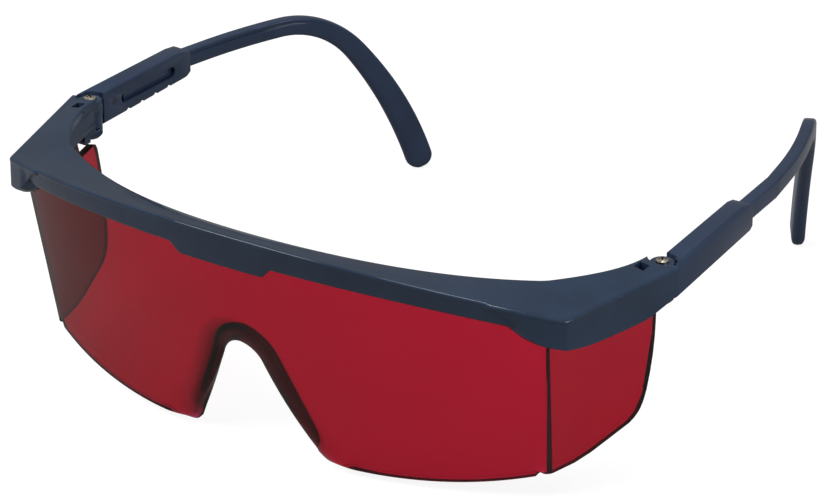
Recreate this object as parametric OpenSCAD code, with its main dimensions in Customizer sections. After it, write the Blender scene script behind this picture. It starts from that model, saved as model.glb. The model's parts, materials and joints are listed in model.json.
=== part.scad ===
// Wrap-around safety glasses with a one-piece tinted lens and adjustable folding temples.
// Origin at the nose seat; X across the face, Y towards the ears, Z up. Millimetres.

/* [Brow frame] */
// Half the width between the two front corners
half_width = 70; // [67:0.5:73]
// Height of the brow ridge in the middle above the corners
brow_rise = 9.6; // [7:0.1:12]
// Height of the front face in the middle
lip_mid = 6.1; // [5:0.1:7.5]
// Height of the front face near the corners
lip_side = 4.75; // [4.2:0.05:6]
// Thickness of the lip in front of the lens
lip_wall = 1.4; // [1:0.1:2]
// Drop of the brow bump below the lip
bump_drop = 2.4; // [1.2:0.1:3]
// Half the width of the brow bump at its foot
bump_half = 10; // [7:0.5:14]
// Extra depth of the corner panel below the lip
corner_drop = 2.5; // [1.8:0.1:3.2]
// How far the corner panel stands proud of the lip
corner_step = 0.5; // [0.3:0.1:0.8]
// Length of the frame's side, from the corner to the temple
side_length = 31.1; // [29:0.1:33]
// Outward flare of the frame's side in degrees
side_flare = 13.2; // [11.5:0.1:14.5]
// Depth of the shelf in the middle
shelf_depth = 8.4; // [7.5:0.1:10]
// Thickness of the shelf
shelf_wall = 1.8; // [1.4:0.1:2.4]
// Thickness of the rib behind the lens
rib_wall = 1.1; // [0.9:0.1:1.5]

/* [Lens] */
// Radius of the lens front
lens_radius = 130; // [124:1:138]
// Thickness of the lens
lens_wall = 2; // [1.8:0.1:2.3]
// Backward slope of the lens in degrees
lens_tilt = 11.5; // [9.5:0.5:13]
// Depth of the lens below the frame's corners
lens_drop = 44.6; // [42:0.2:47]
// How far the side shields' outer faces lie inside the frame's corners
shield_inset = 3.4; // [3:0.05:3.8]
// Outward flare of the side shields in degrees
shield_flare = 13.8; // [13:0.1:14.4]
// Inward lean of the side shields in degrees
shield_lean = 6.4; // [5.5:0.1:7]
// Depth of the side shields' rear lower corner below the frame's corners
shield_drop = 35.4; // [34:0.1:37]
// Radius of the crown of the nose notch
nose_radius = 6.2; // [5.5:0.1:7]
// Depth of the crown of the nose notch below the frame's corners
nose_top = 18.4; // [17:0.1:20]
// Slope of the sides of the nose notch below its crown in degrees
nose_slope = 22; // [19:0.5:25]
// Slope of the sides of the nose notch near the lens's lower corners in degrees
nose_flare = 40; // [36:0.5:44]
// Depth of the nose flange behind the lens
nose_depth = 4.6; // [3.8:0.1:6]
// Upward slope of the nose flange in degrees
nose_rise = 20; // [14:1:24]
// Thickness of the nose flange
nose_wall = 1.8; // [1.4:0.1:2.2]
// Radius of the lens's lower corners beside the nose
lobe_radius = 9; // [7:0.5:11]
// How far the nose flange reaches past the lens's edge at these lower corners
flange_reach = 3; // [2.4:0.1:3.4]

/* [Hinges] */
// How far the fold screws stand outside the front corners
hinge_out = 3.3; // [2.9:0.1:3.6]
// Distance of the fold screws behind the frame's end face
hinge_back = 0.8; // [0.6:0.1:1.1]
// Diameter of the hinge boss
boss_d = 5.3; // [5:0.1:5.4]
// Diameter of the fold screw
screw_d = 1.6; // [1.4:0.1:1.8]
// Diameter of the fold screw's head
screw_head_d = 2.8; // [2.5:0.1:3.2]
// Height of the knuckle between the two ears
knuckle_h = 4.2; // [3.8:0.1:4.6]
// Height of the tongue that the sleeve tilts on
tongue_h = 3; // [2.7:0.1:3.1]
// Diameter of the tilt pin
pin_d = 1.4; // [1.2:0.1:1.6]
// Distance of the tilt pin behind the fold screw
pin_back = 7; // [6.6:0.1:7.4]

/* [Temple sleeves] */
// Inward turn of a fully open sleeve in degrees
open_turn = 1.8; // [1.2:0.1:3]
// Degrees by which the left temple stands folded in
left_fold = 0; // [0:0.5:4]
// Degrees by which the right temple stands folded in
right_fold = 2.5; // [0:0.5:4]
// Width of a sleeve
sleeve_w = 4.8; // [4.6:0.1:5]
// Height of a sleeve at its front
sleeve_h = 7.8; // [7.4:0.1:8.1]
// Upward slope of a sleeve's lower edge in degrees
sleeve_taper = 1.5; // [0.5:0.1:2]
// Depth of the arm's middle below the sleeve's top
blade_depth = 3.35; // [3.2:0.05:3.5]
// Length of a sleeve behind the fold screw
sleeve_l = 34.5; // [33.5:0.1:35.5]
// Distance between two length notches
notch_pitch = 4.8; // [4.4:0.1:5]
// Width of a length notch
notch_w = 1.6; // [1.3:0.1:2]

/* [Temple arms] */
// Width of the arm's blade
arm_w = 2.8; // [2.6:0.1:2.9]
// Height of the arm's blade
arm_h = 4.2; // [3.9:0.1:4.4]
// Length of an arm behind the sleeve, up to the ear bend
arm_straight = 29.4; // [27:0.2:32]
// Inward kink of the arm where it leaves the sleeve in degrees
arm_toe = 7.6; // [6:0.1:9]
// Downward slope of the arm where it leaves the sleeve in degrees
arm_drop = 1.8; // [0.5:0.1:3]
// Further inward turn of the arm along its length in degrees
arm_curve = 22.5; // [19:0.5:26]
// Distance behind the sleeve where the arm's inward turn begins
curve_start = 7.5; // [6:0.5:9]
// Length over which the arm turns inward
curve_l = 50; // [44:1:56]
// Radius of the ear bend
ear_radius = 27; // [25:0.5:30]
// Downward turn of the ear bend in degrees
ear_turn = 50; // [46:0.5:54]
// Length of the ear hook below the bend
hook_l = 37; // [34:0.5:40]
// Further downward turn of the hook in degrees
hook_turn = 21.5; // [18:0.5:25]
// Height of the hook near its tip
hook_h = 5.8; // [5.2:0.1:6.4]
// Steps that the left arm is pulled out
left_step = 0; // [0:1:3]
// Steps that the right arm is pulled out
right_step = 3; // [0:1:3]

/* [Fits] */
// Radial clearance of a turning pin
run_fit = 0.05; // [0.03:0.01:0.08]
// Clearance of a sliding blade
slide_fit = 0.08; // [0.05:0.01:0.1]
// Clearance of the lens in its groove
groove_fit = 0.3; // [0.25:0.05:0.4]
// Gap between the frame's end and the sleeve
end_gap = 0.45; // [0.42:0.01:0.6]

/* [Hidden] */
$fn = 64;
side_stations = 9;
// Reach of the cutting solids, larger than the glasses
far = 200;
// Height at which the lens front's depth is set
base_z = 3.5;
frame_blue = [0.10, 0.12, 0.19];
lens_red = [0.72, 0.04, 0.12, 0.8];
steel = [0.78, 0.76, 0.70];

function smooth(t) = let (c = max(0, min(1, t))) c * c * (3 - 2 * c);
function mix(a, b, t) = a + (b - a) * t;

shield_half = half_width - shield_inset;
hinge_half = half_width + hinge_out;
// The lens front is a round tube that leans; a point on it, or g in front of it, at x and z
lip_y0 = -(lens_radius - sqrt(pow(lens_radius + lip_wall, 2) - pow(half_width, 2))) / cos(lens_tilt)
         - base_z * tan(lens_tilt);
function front_y(x, z, g) = lip_y0 - (z - base_z) * tan(lens_tilt)
    + (lens_radius - sqrt(pow(lens_radius + g, 2) - x * x)) / cos(lens_tilt);
// A point on the side shield's plane, or g outside it, at y and z
function shield_x(y, z, g) = shield_half + y * tan(shield_flare)
    + z * tan(shield_lean) / cos(shield_flare) + g / (cos(shield_flare) * cos(shield_lean));
// Where front and shield meet, found by repeated substitution
function crease_y(z, g, y = 0, n = 5) = n == 0 ? y :
    crease_y(z, g, front_y(shield_x(y, z, g), z, g), n - 1);

seat_y = front_y(0, -nose_top, 0) + nose_depth / 2 * cos(nose_rise);
seat_z = -nose_top + nose_depth / 2 * sin(nose_rise);

hinge_y = side_length + hinge_back;
boss_r = boss_d / 2;
top_z = 1.4;
boss_top = 0.9;
sleeve_mid = top_z - blade_depth;
knuckle_top = -1.2;
ear_low = -8.2;
ear_taper = 0.9;
cavity_w = arm_w + 2 * slide_fit;
cavity_h = arm_h + 2 * slide_fit;
wall_in = (sleeve_w - cavity_w) / 2;
// The sleeve's outer wall clears the boss, and everything else follows from it
cavity_out = boss_r + 0.33;
blade_x = cavity_out - cavity_w / 2;
sleeve_in = cavity_out - cavity_w - wall_in;
blade_start = 11.7;
window_l = 3 * notch_pitch + 2.1;

// Heights along the front, by the share u of the half width
function ridge_z(u) = brow_rise * (1 - u * u);
function lip_h(u) = lip_side + (lip_mid - lip_side) * pow(1 - u * u, 2)
    + bump_drop * (1 - smooth((u * half_width - bump_half) / 3))
    + corner_drop * sqrt(smooth((u - 0.882) / 0.085));
function side_low(v) = lookup(v, [[0, 0], [0.12, -0.75], [0.22, -1.1], [0.33, -1.25], [0.55, -1.2],
    [0.74, -0.95], [0.89, 0.5], [1, 1.6]]) - lip_side - corner_drop;

// Stations run from the middle (0) to the corner (1) and on to the end of the side (2)
function face_z(s) = s <= 1 ? ridge_z(s) : mix(0, 1.2, s - 1);
function edge_z(s) = s <= 1 ? ridge_z(s) - lip_h(s) : side_low(s - 1);
// The corner panel stands upright, while the rest of the face leans with the lens
function stand(s, z) = mix(z, face_z(min(s, 1)), smooth((s - 0.88) / 0.04));
function face_pt(s, o, z) =
    let (g = lip_wall + o, yc = front_y(half_width, stand(s, z), g))
    s <= 1 ? let (x = s * (half_width + o * smooth((s - 0.95) / 0.05))) [x, front_y(x, stand(s, z), g), z]
           : let (y = mix(yc, side_length, s - 1)) [half_width + o + y * tan(side_flare), y, z];
function groove_pt(s, g, z) =
    let (yc = crease_y(z, g))
    s <= 1 ? let (x = s * shield_x(yc, z, g)) [x, front_y(x, z, g), z]
           : let (y = mix(yc, side_length, s - 1)) [shield_x(y, z, g), y, z];
inner_share = 0.857;
function shelf_y(w) = front_y(0, brow_rise, lip_wall) + shelf_depth + 29.9 * w * w;
function inner_pt(s) = let (w = min(s, 1) * inner_share, v = max(s - 1, 0))
    s <= 1 ? [w * half_width, shelf_y(w), brow_rise - 2.75 - 9.07 * w * w + 5.07 * pow(w, 4)]
           : [mix(inner_share * half_width, half_width + 0.3, sin(90 * pow(v, 0.95))),
              mix(shelf_y(inner_share), side_length, v), mix(2.9, 2, v)];
function shelf_pt(s, t, lift) =
    let (a = face_pt(s, -0.3, face_z(s)), b = inner_pt(s)) a + (b - a) * t + [0, 0, lift];

// One ring of the frame: groove, lip, face, shelf and rib
function frame_ring(s) =
    let (zr = face_z(s), zl = edge_z(s), zt = zr - 2.4, u = min(s, 1),
         zs = max(zl + 0.6, min(zr - 1.5, mix(3.6, -2.2, (u - 0.805) / 0.08))),
         off = corner_step * smooth((u - 0.8) / 0.02), low = corner_step * smooth((u - 0.88) / 0.01),
         zu = shelf_pt(s, 0.55, 0)[2] - shelf_wall, back = lens_wall + groove_fit,
         zb = min(zt - 2.4, zr - 4.2), e = inner_pt(s),
         a = groove_pt(s, groove_fit, zl), b = face_pt(s, low, zl))
    [groove_pt(s, groove_fit, zt), groove_pt(s, groove_fit, zl + 0.35), (a + b) / 2,
     face_pt(s, low - 0.05, zl + 0.4), face_pt(s, low, zs), face_pt(s, off, zs + 0.35),
     face_pt(s, off, zr - 1.1), face_pt(s, off + 0.12, zr - 0.5), face_pt(s, off * 0.5 - 0.2, zr),
     shelf_pt(s, 0.13, 0), shelf_pt(s, 0.4, 0.2), shelf_pt(s, 0.75, 0.2), e, e - [0, 0, shelf_wall],
     groove_pt(s, -back - rib_wall, zu), groove_pt(s, -back - rib_wall, zb),
     groove_pt(s, -back, zb), groove_pt(s, -back, zt)];
function flip(r) = [for (p = r) [-p[0], p[1], p[2]]];

// A closed skin through rings of points, all rings with the same number of points
module loft(rings) {
    n = len(rings[0]);
    m = len(rings);
    points = [for (r = rings) for (p = r) p];
    sides = [for (i = [0:m - 2]) for (j = [0:n - 1]) let (k = (j + 1) % n)
        for (f = [[i * n + j, i * n + k, (i + 1) * n + k], [i * n + j, (i + 1) * n + k, (i + 1) * n + j]]) f];
    caps = [[for (j = [n - 1:-1:0]) j], [for (j = [0:n - 1]) (m - 1) * n + j]];
    polyhedron(points, concat(sides, caps), convexity = 6);
}

module seat() { translate([0, -seat_y, -seat_z]) children(); }
module side(right) { mirror([right ? 0 : 1, 0, 0]) children(); }
module hinge(right) { seat() side(right) translate([hinge_half, hinge_y, 0]) children(); }
// The temple's own axes: the fold screw at the origin, Y along the sleeve, X outward
module temple(right) { hinge(right) rotate([0, 0, open_turn + (right ? right_fold : left_fold)]) children(); }

module brow() {
    b0 = bump_half / half_width;
    b1 = (bump_half + 3) / half_width;
    right = concat([0, b0 / 3, 2 * b0 / 3], [for (i = [0:5]) mix(b0, b1, i / 5)],
                   [for (i = [1:13]) mix(b1, 0.8, i / 13)], [0.81, 0.82, 0.835, 0.857, 0.88],
                   [for (i = [1:9]) mix(0.88, 0.985, i / 9)], [1],
                   [for (i = [1:side_stations]) 1 + i / side_stations]);
    n = len(right);
    loft(concat([for (i = [n - 1:-1:1]) flip(frame_ring(right[i]))], [for (s = right) frame_ring(s)]));
}

module frame_end() {
    // solid end of the side, with the boss that the fold screw passes
    translate([0, 0, ear_low + 1])
        linear_extrude(boss_top - ear_low - 1.3)
            polygon([[-3, -6], [1.6, -6], [2.6, -1.2], [boss_r, 0], [-boss_r, 0], [-3, -0.5]]);
    translate([0, 0, ear_low + ear_taper]) cylinder(d = boss_d, h = boss_top - ear_low - ear_taper);
    translate([0, 0, ear_low]) cylinder(d1 = boss_d - 2 * ear_taper, d2 = boss_d, h = ear_taper);
}
module frame_cuts() {
    // room for the knuckle between the ears and for the block as it swings inward
    translate([0, 0, knuckle_top - knuckle_h - 0.1]) {
        cylinder(r = boss_r + 0.3, h = knuckle_h + 0.2);
        translate([-12, -1.9, 0]) cube([12, 12, knuckle_h + 0.2]);
    }
    translate([-14 - boss_r - 0.2, -2.9, ear_low - 1]) cube([14, 16, 14]);
    translate([0, 0, knuckle_top - 1]) cylinder(d = screw_d + 2 * run_fit, h = 4);
    translate([0, 0, ear_low - 1]) cylinder(d = screw_d, h = 6);
    // pocket in the shelf's end, in front of the boss
    translate([-2.5, -7.2, -0.9]) cube([2.3, 2.6, 4]);
    // round flat for the screw's head
    translate([0, 0, boss_top]) cylinder(r = boss_r + 0.45, h = 4);
    // slanted lower inner corner of the boss
    translate([-boss_r - 0.1, 0, ear_low]) rotate([0, 35, 0]) translate([-4, -4, -2.2]) cube([4, 8, 4]);
}
module frame() {
    color(frame_blue)
    difference() {
        union() {
            seat() brow();
            for (right = [false, true]) hinge(right) frame_end();
        }
        for (right = [false, true]) hinge(right) frame_cuts();
    }
}

function arc(c, r, a0, a1, n) = [for (i = [0:n]) let (a = mix(a0, a1, i / n)) c + r * [cos(a), sin(a)]];
function turned(r) = [for (i = [len(r) - 1:-1:0]) [-r[i][0], r[i][1]]];

// The notch for the nose: a crown, long flaring sides and the lens's lower corners, each an arc
notch_z = -nose_top - nose_radius;
leg_radius = (lens_drop + notch_z + nose_radius * sin(nose_slope) - lobe_radius * (1 - sin(nose_flare)))
    / (sin(nose_flare) - sin(nose_slope));
lobe = [nose_radius * cos(nose_slope) + leg_radius * (cos(nose_slope) - cos(nose_flare))
        + lobe_radius * cos(nose_flare), lobe_radius - lens_drop];
leg = lobe + (leg_radius - lobe_radius) * [cos(nose_flare), sin(nose_flare)];
function bottom_z(x) = -lens_drop + 5.2 * pow(max(0, x - lobe[0]) / (64 - lobe[0]), 2.5);
// Drop of the lens's top edge below the ridge
lens_sink = 3.2;
module front_outline() {
    half = concat([for (i = [1:14]) let (p = groove_pt(i / 14, 0, ridge_z(i / 14) - lens_sink))
                      [p[0] + 0.3 * i / 14, p[2]]],
                  [[half_width * 0.98, -lens_sink]],
                  [for (i = [10:-1:1]) let (x = mix(lobe[0], half_width * 0.98, i / 10)) [x, bottom_z(x)]],
                  arc(lobe, lobe_radius, 270, 180 + nose_flare, 8),
                  arc(leg, leg_radius, 179.5 + nose_flare, 180 + nose_slope, 10),
                  arc([0, notch_z], nose_radius, nose_slope + 4, 86, 12));
    polygon(concat([[0, ridge_z(0) - lens_sink]], half, [[0, -nose_top]], turned(half)));
}
module tube_part(r) {
    translate([0, lip_y0, base_z]) rotate([lens_tilt, 0, 0]) translate([0, lens_radius, -far / 2])
        cylinder(r = r, h = far, $fn = 256);
}
// Slab parallel to a side shield, from g1 to g2 outside its outer face
module shield_slab(g1, g2) {
    translate([shield_half, 0, 0])
        rotate([0, atan(tan(shield_lean)), -shield_flare])
            translate([g1, -far / 2, -far / 2]) cube([g2 - g1, far, far]);
}
module shield_outline() {
    back = side_length + 0.3;
    low = bottom_z(shield_half - 3.2);
    polygon([[-12, -3], [20.5, -3], [21.6, -4.2], [22.4, ear_low - 0.9], [back - 1.5, ear_low - 0.9],
             [back - 0.9, ear_low - 1.4], [back - 0.6, ear_low - 3.5], [back - 0.2, 19.5 - shield_drop],
             [back, 15 - shield_drop], [back - 0.1, 10.8 - shield_drop], [back - 0.4, 6.6 - shield_drop],
             [back - 0.9, 4.1 - shield_drop], [back - 1.6, 2.3 - shield_drop], [back - 2.7, 1 - shield_drop],
             [back - 4.2, -shield_drop], [back - 9.6, -1.7 - shield_drop], [back - 14.6, low + 1],
             [back - 19, low + 0.2], [6.8, low], [0, low - 0.7], [-12, low - 1.4]]);
}
module lens() {
    color(lens_red) seat() {
        intersection() {
            difference() { tube_part(lens_radius); tube_part(lens_radius - lens_wall); }
            rotate([90, 0, 0]) linear_extrude(60, center = true) front_outline();
            shield_slab(-far, 0);
            mirror([1, 0, 0]) shield_slab(-far, 0);
        }
        for (right = [false, true]) side(right) intersection() {
            shield_slab(-lens_wall, 0);
            tube_part(lens_radius);
            rotate([90, 0, 90]) linear_extrude(far) shield_outline();
        }
        loft(concat([for (i = [len(flange) - 1:-1:1]) flip(flange[i])], flange));
    }
}
// One ring of the flange round the notch: p on the lens's edge, n from it into the lens, and the
// rear edge h past p, d deeper and raised by lift
function flange_ring(p, n, h, d, lift, root) =
    let (q = p - h * n, a = [p[0] + root * n[0], front_y(p[0], p[1], 0), p[1] + root * n[1]],
         b = [q[0], front_y(q[0], q[1], 0) + d, q[1] + lift], c = mix(a, b, 0.2),
         w = nose_wall * [n[0], 0, n[1]])
    [c + w, b + w, b, c];
// Depth of its rear edge at the crown, at the foot of the sides and where it ends
flange_deep = nose_depth * cos(nose_rise);
flange_foot = flange_deep - 2;
flange_end = lens_wall + 0.3;
flange_root = 0.3;
flange = concat(
    [for (i = [0:11]) let (t = i / 12, a = mix(90, nose_slope, t), n = [cos(a), sin(a)])
        flange_ring([0, notch_z] + nose_radius * n, n, -flange_root * t, flange_deep,
                    nose_depth * sin(nose_rise) * (1 - t), flange_root * t)],
    [for (i = [0:9]) let (t = i / 10, a = mix(nose_slope, nose_flare, t), n = [cos(a), sin(a)])
        flange_ring(leg - leg_radius * n, n, mix(-flange_root, flange_reach, pow(t, 2.2)),
                    mix(flange_deep, flange_foot, pow(t, 3)), 0, flange_root)],
    [for (i = [0.4:7.4]) let (t = i / 7.4, a = mix(nose_flare, 90, t), n = [cos(a), sin(a)])
        flange_ring(lobe - lobe_radius * n, n, mix(flange_reach, -flange_root, smooth((t - 0.2) / 0.8)),
                    mix(flange_foot, flange_end, t), 0, flange_root)],
    [flange_ring([lobe[0] + 4, bottom_z(lobe[0] + 4)], [0, 1], -flange_root, lens_wall - 0.3, 0, flange_root)]);

module hinge_block() {
    t = cavity_w - 0.2;
    difference() {
        union() {
            translate([0, 0, knuckle_top - knuckle_h]) cylinder(d = boss_d, h = knuckle_h);
            translate([sleeve_in, 0, sleeve_mid - tongue_h / 2])
                cube([cavity_out - 0.1 - sleeve_in, 3.3, knuckle_top - sleeve_mid + tongue_h / 2]);
            translate([blade_x - t / 2, 3, sleeve_mid - tongue_h / 2]) cube([t, pin_back - 3, tongue_h]);
            translate([blade_x - t / 2, pin_back, sleeve_mid]) rotate([0, 90, 0]) cylinder(d = tongue_h, h = t);
            translate([blade_x - t / 2, pin_back, sleeve_mid - tongue_h / 3]) cube([t, 3.2, tongue_h / 1.5]);
        }
        translate([0, 0, knuckle_top - knuckle_h - 1]) cylinder(d = screw_d + 2 * run_fit, h = knuckle_h + 4);
        translate([blade_x - 3, pin_back, sleeve_mid])
            rotate([0, 90, 0]) cylinder(d = pin_d + 2 * run_fit, h = 6);
    }
}
module hinge_block_left() { color(frame_blue) temple(false) hinge_block(); }
module hinge_block_right() { color(frame_blue) temple(true) hinge_block(); }

module hinge_screw() {
    difference() {
        union() {
            translate([0, 0, ear_low + 0.4]) cylinder(d = screw_d, h = boss_top - ear_low - 0.3);
            translate([0, 0, boss_top]) cylinder(d = screw_head_d, h = 0.35);
            translate([0, 0, boss_top + 0.35]) intersection() {
                translate([0, 0, 0.45 - 2.4]) sphere(2.4);
                cylinder(d = screw_head_d - 0.1, h = 1);
            }
        }
        for (a = [0, 90]) rotate([0, 0, a + 30]) translate([-0.85, -0.17, boss_top + 0.35])
            cube([1.7, 0.34, 2]);
    }
}
module hinge_screw_left() { color(steel) hinge(false) hinge_screw(); }
module hinge_screw_right() { color(steel) hinge(true) hinge_screw(); }

module pivot_pin() {
    translate([sleeve_in + 0.05, pin_back, sleeve_mid])
        rotate([0, 90, 0]) cylinder(d = pin_d, h = cavity_out + wall_in / 2 - sleeve_in);
}
module pivot_pin_left() { color(frame_blue) temple(false) pivot_pin(); }
module pivot_pin_right() { color(frame_blue) temple(true) pivot_pin(); }

module sleeve() {
    out = sleeve_in + sleeve_w;
    low = top_z - sleeve_h;
    difference() {
        translate([0, -3, 0]) rotate([90, 0, 180]) mirror([1, 0, 0]) linear_extrude(sleeve_l + 3)
            polygon([[sleeve_in, low - 1], [out, low - 1], [out, top_z - 0.9], [out - 0.7, top_z],
                     [sleeve_in + 0.3, top_z], [sleeve_in, top_z - 0.3]]);
        // rising lower edge with its chamfers
        rotate([sleeve_taper, 0, 0]) translate([0, -4, 0]) rotate([90, 0, 180]) mirror([1, 0, 0])
            linear_extrude(sleeve_l + 8)
                polygon([[sleeve_in - 2, low - 6], [out + 2, low - 6], [out + 2, low + 0.5], [out, low + 0.5],
                         [out - 0.5, low], [sleeve_in + 0.4, low], [sleeve_in, low + 0.4],
                         [sleeve_in - 2, low + 0.4]]);
        // front face, parallel to the frame's end when fully open
        rotate([0, 0, -open_turn]) translate([-20, -20, -20]) cube([40, 20 + end_gap - hinge_back, 40]);
        // room for the boss and the block
        translate([0, 0, -20]) cylinder(r = boss_r + 0.6, h = 40);
        translate([-20, -20, -20]) cube([20 + cavity_out, 20, 40]);
        translate([sleeve_in - 1, -1, low - 2]) cube([wall_in + 1.05, 4.7, sleeve_h + 3]);
        // cavity for the blade
        translate([blade_x - cavity_w / 2, 1, sleeve_mid - cavity_h / 2]) cube([cavity_w, sleeve_l, cavity_h]);
        // window in the inner wall
        translate([sleeve_in - 1, blade_start - 0.6, sleeve_mid - 1.7]) cube([wall_in + 1.5, window_l, 2.6]);
        for (y = [0, window_l]) translate([sleeve_in - 1, blade_start - 0.6 + y, sleeve_mid - 0.4])
            rotate([0, 90, 0]) cylinder(r = 1.3, h = wall_in + 1.5);
        // length notches along the lower inner edge
        for (i = [0:3]) let (y = blade_start + 0.8 + i * notch_pitch)
            translate([sleeve_in - 1, y, low + y * sin(sleeve_taper)])
                rotate([0, 90, 0]) cylinder(d = notch_w, h = wall_in + 1.7, $fn = 32);
        // slanted end of the top, and the step of the lower edge
        translate([-20, sleeve_l - 4, top_z]) rotate([-12, 0, 0]) cube([40, 10, 5]);
        translate([-20, sleeve_l - 1, low - 3.2]) rotate([30, 0, 0]) cube([40, 10, 4]);
        translate([blade_x - 4, pin_back, sleeve_mid]) rotate([0, 90, 0])
            cylinder(d = pin_d, h = cavity_out - blade_x + 4 + wall_in / 2 + 0.1);
    }
}
module sleeve_left() { color(frame_blue) temple(false) sleeve(); }
module sleeve_right() { color(frame_blue) temple(true) sleeve(); }

// The arm's middle line behind the sleeve, summed from short steps of one heading and one slope
bend_l = ear_radius * ear_turn * PI / 180;
arm_l = arm_straight + bend_l + hook_l;
arm_steps = 120;
function arm_head(t) = t < 0.2 ? 0 : arm_toe + arm_curve * max(0, min(1, (t - curve_start) / curve_l));
function arm_slope(t) = (t < 0.5 ? 0 : arm_drop) + ear_turn * max(0, min(1, (t - arm_straight) / bend_l))
    + hook_turn * max(0, t - arm_straight - bend_l) / hook_l;
function arm_way(t) = let (a = arm_head(t), b = arm_slope(t)) [-sin(a) * cos(b), cos(a) * cos(b), -sin(b)];
arm_path = let (l = arm_l / arm_steps)
    [for (i = 0, p = [0, 0, 0]; i <= arm_steps; i = i + 1, p = p + l * arm_way((i - 0.5) * l)) p];
function arm_pt(t) = t <= 0 ? [0, t, 0] :
    let (u = min(t / arm_l, 1) * arm_steps, i = min(floor(u), arm_steps - 1))
    mix(arm_path[i], arm_path[i + 1], u - i);
tip_r = hook_h / 2;
function arm_ring(t) =
    let (p = arm_pt(t), grow = smooth((t - arm_straight) / (bend_l + hook_l * 0.8)),
         tip = max(0, (t - arm_l + tip_r) / tip_r), k = sqrt(max(0.02, 1 - tip * tip)),
         h = mix(arm_h / 2, hook_h / 2, grow) * k, w = mix(arm_w / 2, 1.6, grow) * mix(0.55, 1, k),
         c = t < 0 ? 0.3 : min(0.45 * w, 0.35 * h),
         g = 0.06 + (t < 0 ? 0 : 0.35 * (1 - smooth((t - arm_straight) / 10))),
         a = arm_head(t < 0.5 ? 0 : t), b = arm_slope(t), across = [cos(a), sin(a), 0],
         up = [-sin(a) * sin(b), cos(a) * sin(b), cos(b)])
    [for (q = [[0.07 - w, -h + c], [-w + c, -h], [w - c, -h], [w, -h + c], [w, h - c], [w - c, h], [-w + c, h],
               [0.07 - w, h - c], [-w, h * 0.62], [-w + g, h * 0.5], [-w, h * 0.38]])
        p + q[0] * across + q[1] * up];
module arm() {
    // click stud that rides in the sleeve's window
    translate([sleeve_in + 0.25, blade_start + 0.05, sleeve_mid - 1.1]) cube([wall_in + 0.9, 1.5, 1.4]);
    translate([blade_x, sleeve_l, sleeve_mid])
        loft([for (t = concat([blade_start - sleeve_l, -0.4, 0.1, 0.8, 1.6],
                [for (i = [1:5]) arm_straight * i / 5.4],
                [for (i = [0:14]) arm_straight + bend_l * i / 14],
                [for (i = [1:7]) arm_straight + bend_l + (hook_l - tip_r) * i / 7],
                [for (i = [1:6]) arm_l - tip_r * (1 - sin(15 * i))])) arm_ring(t)]);
}
module arm_left() { color(frame_blue) temple(false) translate([0, left_step * notch_pitch, 0]) arm(); }
module arm_right() { color(frame_blue) temple(true) translate([0, right_step * notch_pitch, 0]) arm(); }

frame();
lens();
hinge_block_left();
hinge_block_right();
hinge_screw_left();
hinge_screw_right();
pivot_pin_left();
pivot_pin_right();
sleeve_left();
sleeve_right();
arm_left();
arm_right();
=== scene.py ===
"""Wrap-around safety glasses with a tinted one-piece lens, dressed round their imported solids.

Sizes are in millimetres in the corner frame: X across the face, Y back towards the ears, Z up from
the line between the brow's two front corners. to_row() turns them into metres from the nose seat.
"""

from __future__ import annotations

import json
import logging
import math
from contextlib import contextmanager
from dataclasses import dataclass
from enum import Enum
from typing import Iterable, Iterator, Sequence

import bmesh
import bpy
from mathutils import Matrix, Vector

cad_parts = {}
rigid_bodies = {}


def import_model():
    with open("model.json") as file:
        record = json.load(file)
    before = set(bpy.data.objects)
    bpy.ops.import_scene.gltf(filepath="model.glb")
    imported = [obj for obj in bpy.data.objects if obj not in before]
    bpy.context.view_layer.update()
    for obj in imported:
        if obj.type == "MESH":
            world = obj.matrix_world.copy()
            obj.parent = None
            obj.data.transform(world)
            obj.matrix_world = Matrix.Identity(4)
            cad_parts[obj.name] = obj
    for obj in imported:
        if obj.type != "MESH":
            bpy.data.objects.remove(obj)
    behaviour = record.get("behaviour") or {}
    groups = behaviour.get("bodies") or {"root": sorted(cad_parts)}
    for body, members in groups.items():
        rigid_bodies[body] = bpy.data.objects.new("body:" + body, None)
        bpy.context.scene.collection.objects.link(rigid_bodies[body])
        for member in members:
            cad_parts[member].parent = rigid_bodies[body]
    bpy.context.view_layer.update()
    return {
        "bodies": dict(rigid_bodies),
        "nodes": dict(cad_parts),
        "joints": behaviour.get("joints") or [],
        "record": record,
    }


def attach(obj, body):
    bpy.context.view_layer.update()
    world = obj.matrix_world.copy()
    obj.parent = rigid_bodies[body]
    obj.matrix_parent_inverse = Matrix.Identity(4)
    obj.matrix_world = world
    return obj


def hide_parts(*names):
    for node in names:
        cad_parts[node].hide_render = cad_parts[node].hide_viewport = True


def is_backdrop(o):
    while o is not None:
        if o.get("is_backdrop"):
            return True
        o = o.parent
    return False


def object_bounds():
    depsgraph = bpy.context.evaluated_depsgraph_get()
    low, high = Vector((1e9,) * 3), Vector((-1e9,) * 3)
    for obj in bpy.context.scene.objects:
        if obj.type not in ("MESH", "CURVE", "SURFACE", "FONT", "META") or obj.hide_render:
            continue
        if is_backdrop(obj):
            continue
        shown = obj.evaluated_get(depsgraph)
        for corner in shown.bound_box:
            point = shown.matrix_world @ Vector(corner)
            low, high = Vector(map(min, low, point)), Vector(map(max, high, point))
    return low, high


LOG = logging.getLogger("glasses")
MM = 0.001
WELD = 2e-6  # metres between two points that count as one
SEAT_Y, SEAT_Z = -13.27795, -17.61335  # the row frame's origin in the corner frame

Piece = bpy.types.Object
Finish = bpy.types.Material
Socket = bpy.types.NodeSocket
Colour = tuple[float, float, float]
Paint = Socket | tuple[float, float, float, float]
Ring = list[Vector]
Table = Sequence[tuple[float, float]]


def sind(degrees: float) -> float:
    """Sine of an angle in degrees."""
    return math.sin(math.radians(degrees))


def cosd(degrees: float) -> float:
    """Cosine of an angle in degrees."""
    return math.cos(math.radians(degrees))


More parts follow.
